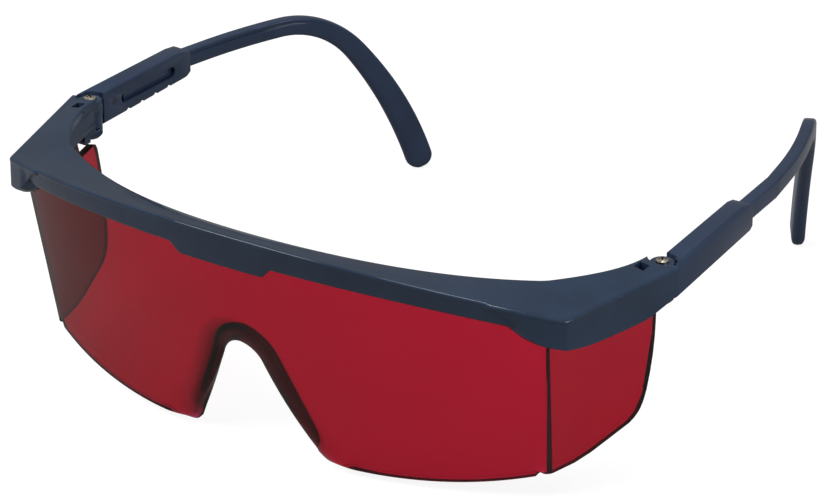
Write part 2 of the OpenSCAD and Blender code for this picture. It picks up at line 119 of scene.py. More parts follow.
def tand(degrees: float) -> float:
    """Tangent of an angle in degrees."""
    return math.tan(math.radians(degrees))


def ray(degrees: float) -> Vector:
    """Direction in X and Z, turned up from X."""
    return Vector((cosd(degrees), sind(degrees)))


def to_row(point: Sequence[float]) -> Vector:
    """Turns a point of the corner frame, in millimetres, into metres from the nose seat."""
    return Vector((point[0], point[1] - SEAT_Y, point[2] - SEAT_Z)) * MM


def mix(a, b, t: float):
    """Goes from a to b, numbers or vectors, as t goes from 0 to 1."""
    return a + (b - a) * t


def strides(low: float, high: float, count: int) -> list[float]:
    """Ends of equal steps from low to high, without low itself."""
    return [mix(low, high, i / count) for i in range(1, count + 1)]


def starts(low: float, high: float, count: int) -> list[float]:
    """Starts of equal steps from low to high, without high itself."""
    return [mix(low, high, i / count) for i in range(count)]


def smooth(t: float) -> float:
    """Eases from 0 to 1 as t goes from 0 to 1, flat outside."""
    t = max(0.0, min(1.0, t))
    return t * t * (3 - 2 * t)


def bow(start: Vector, bend: Vector, end: Vector, t: float) -> Vector:
    """A point, at t from 0 to 1, of the arc that leaves start and reaches end towards bend."""
    return start * (1 - t) ** 2 + bend * (2 * t * (1 - t)) + end * t * t


def lookup(value: float, table: Table) -> float:
    """Reads a value from a table of straight segments.

    Args:
        value: where to read.
        table: (place, value) pairs in rising order of place.

    Returns:
        The value between the two nearest places.
    """
    if value <= table[0][0]:
        return table[0][1]
    for (a, p), (b, q) in zip(table, table[1:]):
        if value <= b:
            return mix(p, q, (value - a) / (b - a))
    return table[-1][1]


def rounded(ring: Sequence[Vector], radii: Sequence[float], steps: int = 3) -> Ring:
    """Rounds every corner of a closed profile.

    Args:
        ring: the profile's corners.
        radii: how far each corner's rounding reaches, in millimetres.
        steps: segments of each rounding.

    Returns:
        The finer profile, with steps + 1 points for each corner.
    """
    room, out = 0.46, []  # the share of a short edge that one rounding may take
    for i, corner in enumerate(ring):
        back, ahead = ring[i - 1] - corner, ring[(i + 1) % len(ring)] - corner
        start = corner + back.normalized() * min(radii[i], room * back.length)
        end = corner + ahead.normalized() * min(radii[i], room * ahead.length)
        out += [bow(start, corner, end, k / steps) for k in range(steps + 1)]
    return out


def both_halves(right: list[Ring]) -> list[Ring]:
    """Puts the mirror image of a half's profiles before them; the first lies in the middle."""
    left = [[Vector((-p[0], p[1], p[2])) for p in ring] for ring in reversed(right[1:])]
    return left + right


class Side(Enum):
    """The two sides of the glasses, with the sign that their X coordinates take."""

    LEFT = -1
    RIGHT = 1

    @property
    def word(self) -> str:
        """The side's name as the nodes and bodies spell it."""
        return self.name.lower()


# --------------------------------------------------------------------------- bench


class Bench:
    """Modelling steps shared by all pieces."""

    @staticmethod
    def clear() -> None:
        """Leaves edit mode and deselects every object."""
        if bpy.context.object and bpy.context.object.mode != "OBJECT":
            bpy.ops.object.mode_set(mode="OBJECT")
        bpy.ops.object.select_all(action="DESELECT")

    @classmethod
    def pick(cls, obj: Piece) -> None:
        """Selects one object alone and makes it active.

        Args:
            obj: the object.
        """
        cls.clear()
        obj.hide_set(False)
        obj.select_set(True)
        bpy.context.view_layer.objects.active = obj

    @classmethod
    @contextmanager
    def editing(cls, obj: Piece) -> Iterator[None]:
        """Keeps a piece in edit mode, all of it selected at first.

        Args:
            obj: the piece.

        Returns:
            Nothing; the steps inside the with block act on the piece.
        """
        cls.pick(obj)
        bpy.ops.object.mode_set(mode="EDIT")
        bpy.ops.mesh.select_all(action="SELECT")
        yield
        bpy.ops.object.mode_set(mode="OBJECT")

    @classmethod
    def modify(cls, obj: Piece, kind: str, **values) -> None:
        """Applies one modifier, with these values of its properties, to a piece.

        Args:
            obj: the piece.
            kind: the modifier type.
            values: names of the modifier's properties and what they take.
        """
        cls.pick(obj)
        step = obj.modifiers.new(kind.lower(), kind)
        for key, value in values.items():
            setattr(step, key, value)
        bpy.ops.object.modifier_apply(modifier=step.name)

    @classmethod
    def named(cls, name: str) -> Piece:
        """Names the primitive that was just added, and its mesh.

        Args:
            name: the new name.

        Returns:
            The active object, which is the primitive.
        """
        obj = bpy.context.object
        obj.name = name
        obj.data.name = name
        return obj

    @classmethod
    def settle(cls, obj: Piece) -> Piece:
        """Puts the object's place, turn and size into its mesh.

        Args:
            obj: the object.

        Returns:
            The same object, unturned and unscaled at the origin.
        """
        cls.pick(obj)
        bpy.ops.object.transform_apply(location=True, rotation=True, scale=True)
        return obj

    @classmethod
    def skin(cls, name: str, rings: Sequence[Ring]) -> Piece:
        """Stretches a grid over rings of points and closes it to a solid.

        Args:
            name: the new piece's name.
            rings: closed profiles with the same number of points, in the corner frame.

        Returns:
            A closed mesh in the row frame, facing outwards.
        """
        cls.clear()
        bpy.ops.mesh.primitive_grid_add(
            x_subdivisions=len(rings[0]), y_subdivisions=len(rings) - 1, size=1)
        obj = cls.named(name)
        flat: list[float] = []
        for ring in rings:
            for point in [*ring, ring[0]]:
                flat.extend(to_row(point))
        obj.data.vertices.foreach_set("co", flat)
        obj.data.update()
        with cls.editing(obj):
            bpy.ops.mesh.remove_doubles(threshold=WELD)
            bpy.ops.mesh.select_all(action="SELECT")
            bpy.ops.mesh.fill_holes(sides=0)
            bpy.ops.mesh.select_all(action="SELECT")
            bpy.ops.mesh.normals_make_consistent(inside=False)
        return obj

    @classmethod
    def block(cls, low: Sequence[float], high: Sequence[float]) -> Piece:
        """Adds a box between two corners given in millimetres, in its own axes.

        Args:
            low: the corner with the smallest coordinates.
            high: the corner with the largest.

        Returns:
            The box.
        """
        cls.clear()
        middle = [(a + b) / 2 for a, b in zip(low, high)]
        bpy.ops.mesh.primitive_cube_add(size=1, location=middle)
        obj = bpy.context.object
        obj.scale = [b - a for a, b in zip(low, high)]
        return cls.settle(obj)

    @classmethod
    def rod(cls, radius: float, low: float, high: float) -> Piece:
        """Adds an upright rod of that radius between two heights, in its own axes.

        Args:
            radius: half its diameter.
            low: height of its foot.
            high: height of its top.

        Returns:
            The rod.
        """
        cls.clear()
        bpy.ops.mesh.primitive_cylinder_add(
            vertices=64, radius=radius, depth=high - low, location=(0, 0, (low + high) / 2))
        return cls.settle(bpy.context.object)

    @classmethod
    def bullet(cls, radius: float, foot: float, low: float, knee: float, high: float) -> Piece:
        """Adds an upright rod that narrows to a foot radius below its knee.

        Args:
            radius: half the diameter above the knee.
            foot: radius at the foot.
            low: height of the foot.
            knee: height where it starts to narrow.
            high: height of the top.

        Returns:
            The narrowed rod.
        """
        obj, share = cls.rod(radius, knee, high), foot / radius
        with cls.editing(obj):
            mesh = bmesh.from_edit_mesh(obj.data)
            for face in mesh.faces:
                face.select_set(face.normal.z < -0.9)
            bpy.ops.mesh.extrude_region_move(TRANSFORM_OT_translate={"value": (0, 0, low - knee)})
            bpy.ops.transform.resize(value=(share, share, 1), center_override=(0, 0, low))
        return obj

    @classmethod
    def prism(cls, outline: Sequence[Sequence[float]], low: float, high: float) -> Piece:
        """Extrudes an outline in X and Y from one height to another.

        Args:
            outline: corners in X and Y, in order.
            low: height of its foot.
            high: height of its top.

        Returns:
            The closed prism, facing outwards.
        """
        cls.clear()
        bpy.ops.mesh.primitive_circle_add(vertices=len(outline), radius=1, fill_type="NGON")
        obj = bpy.context.object
        for vertex, point in zip(obj.data.vertices, outline):
            vertex.co = (point[0], point[1], low)
        with cls.editing(obj):
            bpy.ops.mesh.extrude_region_move(TRANSFORM_OT_translate={"value": (0, 0, high - low)})
            bpy.ops.mesh.select_all(action="SELECT")
            bpy.ops.mesh.normals_make_consistent(inside=False)
        return obj

    @classmethod
    def place(cls, obj: Piece, turn: Matrix, mirrored: bool = False) -> Piece:
        """Carries a tool from its own axes into the row frame.

        Args:
            obj: a mesh in millimetres in its own axes.
            turn: its axes in the corner frame, in millimetres.
            mirrored: True to put it on the other side of the face.

        Returns:
            The same mesh in metres from the nose seat, facing outwards.
        """
        flip = Matrix.Diagonal((-1, 1, 1, 1)) if mirrored else Matrix.Identity(4)
        seat = Matrix.Scale(MM, 4) @ Matrix.Translation((0, -SEAT_Y, -SEAT_Z))
        obj.data.transform(seat @ flip @ turn)
        if mirrored:
            with cls.editing(obj):
                bpy.ops.mesh.flip_normals()
        return obj

    @classmethod
    def join(cls, parts: Sequence[Piece]) -> Piece:
        """Joins several meshes into the first.

        Args:
            parts: two or more meshes.

        Returns:
            The first, which now holds them all.
        """
        cls.clear()
        for part in parts:
            part.select_set(True)
        bpy.context.view_layer.objects.active = parts[0]
        bpy.ops.object.join()
        return parts[0]

    @classmethod
    def combine(cls, obj: Piece, tool: Piece, kind: str) -> None:
        """Cuts or joins a tool into a piece and removes the tool.

        Args:
            obj: the piece that stays.
            tool: the mesh that is used up.
            kind: DIFFERENCE or UNION.
        """
        cls.modify(obj, "BOOLEAN", operation=kind, object=tool, solver="EXACT", use_self=True)
        bpy.data.objects.remove(tool)

    @classmethod
    def ease(cls, obj: Piece, width: float, steps: int = 2) -> None:
        """Rounds a piece's edges that are sharper than 30 degrees.

        Args:
            obj: the piece.
            width: how far the rounding reaches, in the mesh's own unit.
            steps: facets across each rounding.
        """
        cls.modify(obj, "BEVEL", width=width, segments=steps, limit_method="ANGLE",
                   angle_limit=math.radians(30))

    @classmethod
    def shade(cls, obj: Piece, angle: float = 35) -> None:
        """Shades a piece smooth but for edges sharper than an angle in degrees."""
        cls.pick(obj)
        bpy.ops.object.shade_smooth_by_angle(angle=math.radians(angle))

    @classmethod
    def moulding(cls, source: Piece, name: str, width: float) -> Piece:
        """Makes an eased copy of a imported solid.

        Args:
            source: the node's object, which stays as it is.
            name: the new piece's name.
            width: rounding of its edges in millimetres.

        Returns:
            The merged, rounded copy.
        """
        flat_angle = 0.6  # degrees under which two faces are one
        cls.clear()
        copy = bpy.data.objects.new(name, source.data.copy())
        copy.data.materials.clear()
        bpy.context.scene.collection.objects.link(copy)
        cls.pick(copy)
        bpy.ops.mesh.customdata_custom_splitnormals_clear()
        with cls.editing(copy):
            bpy.ops.mesh.remove_doubles(threshold=WELD)
            bpy.ops.mesh.dissolve_limited(angle_limit=math.radians(flat_angle))
        cls.ease(copy, width * MM)
        cls.shade(copy)
        return copy


# --------------------------------------------------------------------------- finishes


class NodeDesk:
    """Puts shader nodes into the tree of a material or world and links them."""

    def __init__(self, owner: bpy.types.ID, coordinates: str = "Object") -> None:
        """Clears the owner's tree.

        Args:
            owner: a material or a world.
            coordinates: which texture coordinates the patterns follow.
        """
        self.owner = owner
        owner.use_nodes = True
        self.tree = owner.node_tree
        self.tree.nodes.clear()
        self.place = self.add("ShaderNodeTexCoord").outputs[coordinates]

    @classmethod
    def material(cls, name: str) -> NodeDesk:
        """Starts a new material of that name."""
        return cls(bpy.data.materials.new(name))

    def add(self, kind: str, **values) -> bpy.types.Node:
        """Adds a node and sets its sockets or properties.

        Args:
            kind: the node's type name.
            values: socket names (underscores for spaces, or in0, in1 ... by number) or node
                properties, and what they take; an output socket given as a value is linked.

        Returns:
            The new node.
        """
        node = self.tree.nodes.new(kind)
        for key, value in values.items():
            socket = node.inputs.get(key.replace("_", " "))
            if socket is None and key.startswith("in") and key[2:].isdigit():
                socket = node.inputs[int(key[2:])]
            if socket is None:
                setattr(node, key, value)
            elif isinstance(value, Socket):
                self.tree.links.new(value, socket)
            else:
                socket.default_value = value
        return node

    def maths(self, operation: str, *values: Socket | float) -> Socket:
        """Works out a sum with two or three values."""
        sockets = {f"in{i}": value for i, value in enumerate(values)}
        return self.add("ShaderNodeMath", operation=operation, **sockets).outputs[0]

    def noise(self, scale: float, detail: float, roughness: float = 0.5,
              place: Socket | None = None) -> Socket:
        """Adds a noise pattern and returns its strength."""
        return self.add("ShaderNodeTexNoise", Vector=place or self.place, Scale=scale,
                        Detail=detail, Roughness=roughness).outputs["Fac"]

    def ramp(self, share: Socket, stops: Sequence[tuple[float, float | Paint]]) -> Socket:
        """Adds a colour ramp; a stop's colour may be a grey given as one number.

        Args:
            share: the pattern that it reads.
            stops: (place, colour or grey) pairs in rising order of place.

        Returns:
            The ramp's colour.
        """
        node = self.add("ShaderNodeValToRGB", Fac=share)
        elements = node.color_ramp.elements
        while len(elements) < len(stops):
            elements.new(0.5)
        for element, (place, colour) in zip(elements, stops):
            element.position = place
            element.color = colour if isinstance(colour, tuple) else (colour, colour, colour, 1)
        return node.outputs["Color"]

    def tones(self, share: Socket, colour: Colour, low: tuple[float, float],
              high: tuple[float, float]) -> Socket:
        """Varies a colour between two (place, gain) pairs of a pattern."""
        return self.ramp(share, [(place, shade_of(colour, gain)) for place, gain in (low, high)])

    def blend(self, share: Socket, low: Paint, high: Paint) -> Socket:
        """Mixes two colours by a share."""
        return self.add("ShaderNodeMix", data_type="RGBA", blend_type="MIX", in0=share, in6=low,
                        in7=high).outputs[2]

    def span(self, value: Socket, low: float, high: float, start: float = 0.3,
             end: float = 0.7) -> Socket:
        """Maps start to end of a value onto low to high."""
        return self.add("ShaderNodeMapRange", Value=value, From_Min=start, From_Max=end,
                        To_Min=low, To_Max=high).outputs[0]

    def relief(self, height: Socket, strength: float, depth: float, **under: Socket) -> Socket:
        """Adds relief of a depth in metres, on top of another where Normal is given."""
        return self.add("ShaderNodeBump", Strength=strength, Distance=depth, Height=height,
                        **under).outputs[0]

    def shown(self, hidden: bpy.types.Node, seen: bpy.types.Node) -> bpy.types.Node:
        """Shows one shader to the camera, also through the lens, and another to other light.

        Args:
            hidden: the shader that other light meets.
            seen: the shader that the camera sees.

        Returns:
            The mixed shader.
        """
        path = self.add("ShaderNodeLightPath").outputs
        share = self.maths("MAXIMUM", path["Is Camera Ray"], path["Is Transmission Ray"])
        return self.add("ShaderNodeMixShader", in0=share, in1=hidden.outputs[0],
                        in2=seen.outputs[0])

    def finish(self, surface: bpy.types.Node, **more: Socket) -> bpy.types.ID:
        """Links the surface, and a Volume where given, to the output and returns the owner.

        Args:
            surface: the last shader.
            more: further inputs of the output.

        Returns:
            The material or world.
        """
        kind = "World" if isinstance(self.owner, bpy.types.World) else "Material"
        self.add(f"ShaderNodeOutput{kind}", Surface=surface.outputs[0], **more)
        return self.owner

    def principled(self, **sockets) -> bpy.types.Node:
        """Adds the general surface shader with these sockets set."""
        return self.add("ShaderNodeBsdfPrincipled", **sockets)


def shade_of(colour: Colour, gain: float = 1.0) -> tuple[float, float, float, float]:
    """Makes a colour lighter or darker and adds full cover."""
    return (colour[0] * gain, colour[1] * gain, colour[2] * gain, 1.0)


@dataclass(frozen=True)
class MouldedPlastic:
    """Glossy moulded plastic with faint flow marks, handling scratches, and sharp edges painted
    lighter as rubbed wear and painted highlight.
    """

    name: str
    colour: Colour
    roughness: float
    scratches: float = 0.10
    rubbed: float = 1.7
    index: float = 1.5

    def make(self) -> Finish:
        """Builds the material.

        Returns:
            The plastic.
        """
        desk = NodeDesk.material(self.name)
        flow = desk.tones(desk.noise(90.0, 5.0, 0.55), self.colour, (0.30, 0.86), (0.70, 1.14))
        # painted highlight, also rubbed wear: the colour turns lighter on sharp convex edges
        edge = desk.add("ShaderNodeNewGeometry").outputs["Pointiness"]
        wear_and_highlight = desk.blend(desk.ramp(edge, [(0.53, 0.0), (0.62, 0.5)]), flow,
                          shade_of(self.colour, self.rubbed))
        drawn = desk.add("ShaderNodeMapping", Vector=desk.place, Scale=(260.0, 2400.0, 2400.0))
        streaks = desk.noise(1.0, 3.0, place=drawn.outputs[0])
        haze = desk.span(desk.noise(240.0, 6.0, 0.6), self.roughness * 0.7, self.roughness * 1.4)
        rough = desk.maths("MULTIPLY_ADD", desk.ramp(streaks, [(0.60, 0.0), (0.72, 1.0)]),
                           self.scratches, haze)
        grain = desk.relief(desk.noise(1500.0, 3.0), 0.05, 0.00004)
        waves = desk.relief(desk.noise(55.0, 2.0), 0.10, 0.0004, Normal=grain)
        return desk.finish(desk.principled(
            Base_Color=wear_and_highlight, Normal=waves, Roughness=rough, IOR=self.index))


@dataclass(frozen=True)
class TintedPolycarbonate:
    """Clear tinted polycarbonate that darkens with the way light takes through it.

    The lens's own UV runs round each profile in X and from one side to the other in Y. It finds
    the rolled edge of the notch, whose colour is painted darker as painted shade; the colour is
    also painted darker at grazing view.
    """

    name: str
    tint: Colour
    body: Colour
    density: float
    roll_tint: Colour = (0.10, 0.03, 0.03)
    roughness: float = 0.015
    gloss: float = 0.22
    index: float = 1.45

    def make(self) -> Finish:
        """Builds the material.

        Returns:
            The tinted plastic, with its tint as a volume.
        """
        desk = NodeDesk.material(self.name)
        tone = desk.tones(desk.noise(26.0, 3.0), self.tint, (0.3, 0.96), (0.7, 1.04))
        # painted shade: the tint is painted darker where the surface is seen at a grazing angle
        facing = desk.add("ShaderNodeLayerWeight", Blend=0.35).outputs["Facing"]
        deep = desk.blend(desk.ramp(facing, [(0.55, 0.0), (1.0, 0.8)]), tone,
                          shade_of(self.tint, 0.35))
        # painted shade: the notch's rolled edge, found by the UV, is painted a dark red-brown
        grid = desk.add("ShaderNodeSeparateXYZ", Vector=desk.add("ShaderNodeUVMap").outputs["UV"])
        across = desk.ramp(grid.outputs["X"], [(0.10, 1.0), (0.26, 0.0), (0.74, 0.0), (0.86, 1.0)])
        along = desk.ramp(grid.outputs["Y"], [(0.31, 0.0), (0.36, 1.0), (0.64, 1.0), (0.69, 0.0)])
        roll = desk.maths("MULTIPLY", across, along)
        wiped = desk.span(desk.noise(420.0, 5.0, 0.7), self.roughness * 0.4, self.roughness * 2.2,
                          0.45, 0.75)
        surface = desk.principled(
            Base_Color=desk.blend(roll, deep, shade_of(self.roll_tint)), Roughness=wiped,
            Normal=desk.relief(desk.noise(30.0, 1.0), 0.03, 0.0004),
            IOR=self.index, Transmission_Weight=1.0, Specular_IOR_Level=self.gloss)
        inside = desk.add("ShaderNodeVolumeAbsorption", Color=shade_of(self.body),
                          Density=self.density)
        return desk.finish(surface, Volume=inside.outputs[0])


@dataclass(frozen=True)
class LensEdge:
    """Cut or moulded rim of the tinted lens, and its crease, painted near black as painted shade."""

    name: str
    colour: Colour
    index: float = 1.5

    def make(self) -> Finish:
        """Builds the material.

        Returns:
            The rim's near-black painted shade.
        """
        desk = NodeDesk.material(self.name)
        cloud = desk.noise(160.0, 4.0)
        return desk.finish(desk.principled(
            Base_Color=desk.tones(cloud, self.colour, (0.35, 0.7), (0.65, 1.4)),
            Roughness=desk.span(cloud, 0.12, 0.32, 0.0, 1.0), IOR=self.index))


@dataclass(frozen=True)
class PlatedSteel:
    """Plated steel with fine turning marks, and painted shade that darkens its recesses."""

    name: str
    colour: Colour
    roughness: float = 0.26
    recess: float = 0.0009

    def make(self) -> Finish:
        """Builds the material.

        Returns:
            The plated steel.
        """
        desk = NodeDesk.material(self.name)
        spots = desk.noise(1400.0, 4.0)
        tone = desk.tones(spots, self.colour, (0.3, 0.72), (0.7, 1.05))
        # painted shade: ambient occlusion paints the recesses nearly black
        recess_shade = desk.add("ShaderNodeAmbientOcclusion", Distance=self.recess).outputs["AO"]
        metal = desk.blend(desk.ramp(recess_shade, [(0.55, 1.0), (0.85, 0.0)]), tone,
                           shade_of(self.colour, 0.06))
        return desk.finish(desk.principled(
            Base_Color=metal, Metallic=1.0,
            Roughness=desk.span(spots, self.roughness * 0.7, self.roughness * 1.5),
            Normal=desk.relief(desk.noise(5200.0, 2.0), 0.15, 0.00002)))


FINISHES = {
    "frame_plastic": MouldedPlastic("brow_plastic", (0.018, 0.034, 0.066), 0.09),
    "temple_plastic": MouldedPlastic("temple_plastic", (0.020, 0.036, 0.075), 0.12),
    "lens_tint": TintedPolycarbonate(
        "red_lens", tint=(0.90, 0.06, 0.30), body=(0.72, 0.12, 0.23), density=1700.0),
    # painted shade: near-black colour for the lens's rims and crease
    "lens_rim": LensEdge("lens_rim", (0.030, 0.004, 0.006)),
    "screw_steel": PlatedSteel("screw_plating", (0.80, 0.74, 0.60)),
    "pin_steel": PlatedSteel("pin_metal", (0.12, 0.125, 0.14), 0.35),
}


def dress(obj: Piece, body: str, slot: str, finishes: dict[str, Finish],
          nodes: Iterable[str]) -> None:
    """Gives a piece its finish, unless it has one, its body and its material slot.

    Args:
        obj: the piece.
        body: the body that it moves with.
        slot: the record's slot that its finish comes from.
        finishes: all finishes by slot.
        nodes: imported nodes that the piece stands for.
    """
    if not obj.data.materials:
        obj.data.materials.append(finishes[slot])
    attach(obj, body)
    for node in nodes:
        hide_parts(node)
    LOG.info("%s rides on %s with %d faces", obj.name, body, len(obj.data.polygons))


# --------------------------------------------------------------------------- face


@dataclass(frozen=True)
class FaceForm:
    """The bowed front and slanted sides that the frame and the lens share.

    The front leans back by lens_tilt about the line at height tilt_z.
    """

    half_width: float = 70.0
    lip_wall: float = 1.4
    side_length: float = 31.1
    lens_radius: float = 130.0
    lens_wall: float = 2.0
    lens_tilt: float = 11.5
    tilt_z: float = 3.5
    shield_half: float = 66.6
    shield_flare: float = 13.8
    shield_lean: float = 6.4
    brow_rise: float = 9.6
    hinge_half: float = 73.3
    hinge_back: float = 0.8

    @property
    def shield_in(self) -> Vector:
        """Direction from a side shield's outer face into it."""
        rise = tand(self.shield_lean) / cosd(self.shield_flare)
        return Vector((-1, tand(self.shield_flare), rise)).normalized()

    def front_y(self, x: float, z: float, g: float = 0.0) -> float:
        """Depth of the lens front, or of a face g in front of it.

        Args:
            x: place across the face.
            z: height.
            g: how far the face stands in front of the lens.

        Returns:
            Its Y in the corner frame.
        """
        radius, cosine, lean = self.lens_radius, cosd(self.lens_tilt), tand(self.lens_tilt)
        corner = math.sqrt((radius + self.lip_wall) ** 2 - self.half_width**2)
        base = -(radius - corner) / cosine - self.tilt_z * lean
        curve = (radius - math.sqrt((radius + g) ** 2 - x * x)) / cosine
        return base - (z - self.tilt_z) * lean + curve

    def shield_x(self, y: float, z: float, g: float = 0.0) -> float:
        """Half width over the side shields, or over faces g outside them.

        Args:
            y: depth.
            z: height.
            g: how far outside the shields.

        Returns:
            Its X on the right side.
        """
        flare = cosd(self.shield_flare)
        return (self.shield_half + y * tand(self.shield_flare) + z * tand(self.shield_lean) / flare
                + g / (flare * cosd(self.shield_lean)))

    def crease_y(self, z: float, g: float = 0.0) -> float:
        """Depth at which the front and a side shield meet, closed in on in six rounds.

        Args:
            z: height.
            g: how far outside the lens.

        Returns:
            Its Y in the corner frame.
        """
        y = 0.0
        for _ in range(6):
            y = self.front_y(self.shield_x(y, z, g), z, g)
        return y

    def ridge_z(self, u: float) -> float:
        """Height of the brow ridge at a share u of the half width."""
        return self.brow_rise * (1 - u * u)

    @property
    def hinge(self) -> Vector:
        """Foot of the right fold screw in the corner frame."""
        return Vector((self.hinge_half, self.side_length + self.hinge_back, 0))


@dataclass
class BrowFrame:
    """Brow bar with its shelf, grooved lips, wrapped sides and hinge ears.

    A station s runs from 0 in the middle of the brow over 1 at the corner to 2 at the side's end.
    """

    form: FaceForm
    lip_mid: float = 6.1
    lip_side: float = 4.75
    bump_drop: float = 2.4
    bump_half: float = 10.0
    bump_fade: float = 3.0
    corner_drop: float = 2.5
    corner_step: float = 0.5
    panel_at: float = 0.88
    side_flare: float = 13.2
    side_rise: float = 1.2
    shelf_depth: float = 8.4
    shelf_bow: float = 29.9
    shelf_wall: float = 1.8
    shelf_swell: float = 0.2
    rib_wall: float = 1.1
    groove_fit: float = 0.3
    inner_share: float = 0.857
    boss_d: float = 5.3
    boss_top: float = 0.9
    boss_ease: float = 0.25
    ear_low: float = -8.2
    ear_taper: float = 0.9
    knuckle_top: float = -1.2
    knuckle_h: float = 4.2
    screw_d: float = 1.6
    corner_round: float = 1.2

    # The side's lower edge below the corner panel's, at shares of the side's length.
    SIDE_LOW = [(0, 0), (0.12, -0.75), (0.22, -1.1), (0.33, -1.25), (0.55, -1.2), (0.74, -0.95),
                (0.89, 0.5), (1, 1.6)]
    # Reach of the rounding at each of the profile's corners.
    RADII = [0.1, 0.3, 0.5, 0.4, 0.2, 0.2, 0.5, 0.45, 0.5, 0.7, 2.5, 2.5, 0.6, 0.5, 0.6, 0.3, 0.1,
             0.1]

    def lip_h(self, u: float) -> float:
        """Height of the front face below the ridge at a share u of the half width.

        Args:
            u: share of the half width.

        Returns:
            The height, a positive number.
        """
        side = self.corner_drop * math.sqrt(smooth((u - 0.882) / 0.085))
        bump = 1 - smooth((u * self.form.half_width - self.bump_half) / self.bump_fade)
        return (self.lip_side + (self.lip_mid - self.lip_side) * (1 - u * u) ** 2
                + self.bump_drop * bump + side)

    def side_low(self, v: float) -> float:
        """Height of the side's lower edge at a share v of its length."""
        return lookup(v, self.SIDE_LOW) - self.lip_side - self.corner_drop

    def top_z(self, s: float) -> float:
        """Height of the ridge at station s."""
        return self.form.ridge_z(s) if s <= 1 else mix(0, self.side_rise, s - 1)

    def stand(self, s: float, z: float) -> float:
        """Height that sets the face's depth; the ridge's on the upright corner panel."""
        return mix(z, self.form.ridge_z(min(s, 1)), smooth((s - self.panel_at) / 0.04))

    def face_pt(self, s: float, o: float, z: float) -> Vector:
        """A point of the outer face at station s and height z, o outside it.

        Args:
            s: station.
            o: how far outside the face.
            z: height.

        Returns:
            The point on the right half.
        """
        f, level = self.form, self.stand(s, z)
        if s <= 1:
            x = s * (f.half_width + o * smooth((s - 0.95) / 0.05))
            return Vector((x, f.front_y(x, level, f.lip_wall + o), z))
        y = mix(f.front_y(f.half_width, level, f.lip_wall + o), f.side_length, s - 1)
        return Vector((f.half_width + o + y * tand(self.side_flare), y, z))

    def groove_pt(self, s: float, g: float, z: float) -> Vector:
        """A point g outside the lens at station s and height z.

        Args:
            s: station.
            g: how far outside the lens, below 0 inside.
            z: height.

        Returns:
            The point on the right half.
        """
        f = self.form
        crease = f.crease_y(z, g)
        if s <= 1:
            x = s * f.shield_x(crease, z, g)
            return Vector((x, f.front_y(x, z, g), z))
        y = mix(crease, f.side_length, s - 1)
        return Vector((f.shield_x(y, z, g), y, z))

    def shelf_y(self, w: float) -> float:
        """Depth of the shelf's inner edge at a share w of the half width."""
        front = self.form.front_y(0, self.form.brow_rise, self.form.lip_wall)
        return front + self.shelf_depth + self.shelf_bow * w * w

    def inner_pt(self, s: float) -> Vector:
        """The shelf's inner edge at station s.

        Args:
            s: station.

        Returns:
            The point on the right half.
        """
        f, w, v = self.form, min(s, 1) * self.inner_share, max(s - 1, 0)
        if s <= 1:
            z = f.brow_rise - 2.75 - 9.07 * w * w + 5.07 * w**4
            return Vector((w * f.half_width, self.shelf_y(w), z))
        x = mix(self.inner_share * f.half_width, f.half_width + 0.3, sind(90 * v**0.95))
        y = mix(self.shelf_y(self.inner_share), f.side_length, v)
        return Vector((x, y, mix(2.9, 2, v)))

    def shelf_pt(self, s: float, t: float, lift: float = 0.0) -> Vector:
        """A point of the shelf's top, from the ridge (0) to its inner edge (1)."""
        ridge = self.face_pt(s, -0.3, self.top_z(s))
        return mix(ridge, self.inner_pt(s), t) + Vector((0, 0, lift))

    def corners(self, s: float) -> list[Vector]:
        """The profile's corners at station s: groove, lip, face, shelf and rib.

        Args:
            s: station.

        Returns:
            As many corners as RADII has numbers.
        """
        f, u, fit, wall = self.form, min(s, 1), self.groove_fit, self.shelf_wall
        ridge = self.top_z(s)
        low = f.ridge_z(s) - self.lip_h(s) if s <= 1 else self.side_low(s - 1)
        groove = ridge - 2.4
        step = max(low + 0.6, min(ridge - 1.5, mix(3.6, -2.2, (u - 0.805) / 0.08)))
        over = self.corner_step * smooth((u - 0.8) / 0.02)
        under = self.corner_step * smooth((u - self.panel_at) / 0.01)
        rib_top, rib_low = self.shelf_pt(s, 0.55)[2] - wall, min(groove - 2.4, ridge - 4.2)
        back, inner = -(f.lens_wall + fit), self.inner_pt(s)
        lip = (self.groove_pt(s, fit, low) + self.face_pt(s, under, low)) / 2
        return [self.groove_pt(s, fit, groove), self.groove_pt(s, fit, low + 0.35), lip,
                self.face_pt(s, under - 0.05, low + 0.4), self.face_pt(s, under, step),
                self.face_pt(s, over, step + 0.35), self.face_pt(s, over, ridge - 1.1),
                self.face_pt(s, over + 0.12, ridge - 0.5), self.face_pt(s, over * 0.5 - 0.2, ridge),
                self.shelf_pt(s, 0.13), self.shelf_pt(s, 0.4, self.shelf_swell),
                self.shelf_pt(s, 0.75, self.shelf_swell), inner, inner - Vector((0, 0, wall)),
                self.groove_pt(s, back - self.rib_wall, rib_top),
                self.groove_pt(s, back - self.rib_wall, rib_low),
                self.groove_pt(s, back, rib_low), self.groove_pt(s, back, groove)]

    def ring(self, s: float) -> Ring:
        """The rounded profile at station s."""
        return rounded(self.corners(s), self.RADII)

    def stations(self) -> list[Ring]:
        """Profiles from the middle of the brow round the corner to the end of the side.

        Returns:
            The rounded profiles of the right half, in order.
        """
        near = 1 - self.corner_round / self.form.half_width
        far = 1 + self.corner_round / self.form.side_length
        front = (starts(0, 0.14, 8) + starts(0.14, 0.19, 8) + starts(0.19, 0.79, 40)
                 + starts(0.79, near, 28))
        turn = list(zip(self.ring(near), self.ring(1), self.ring(far)))
        return ([self.ring(s) for s in front]
                + [[bow(*three, k / 6) for three in turn] for k in range(7)]
                + [self.ring(s) for s in strides(far, 2, 20)])

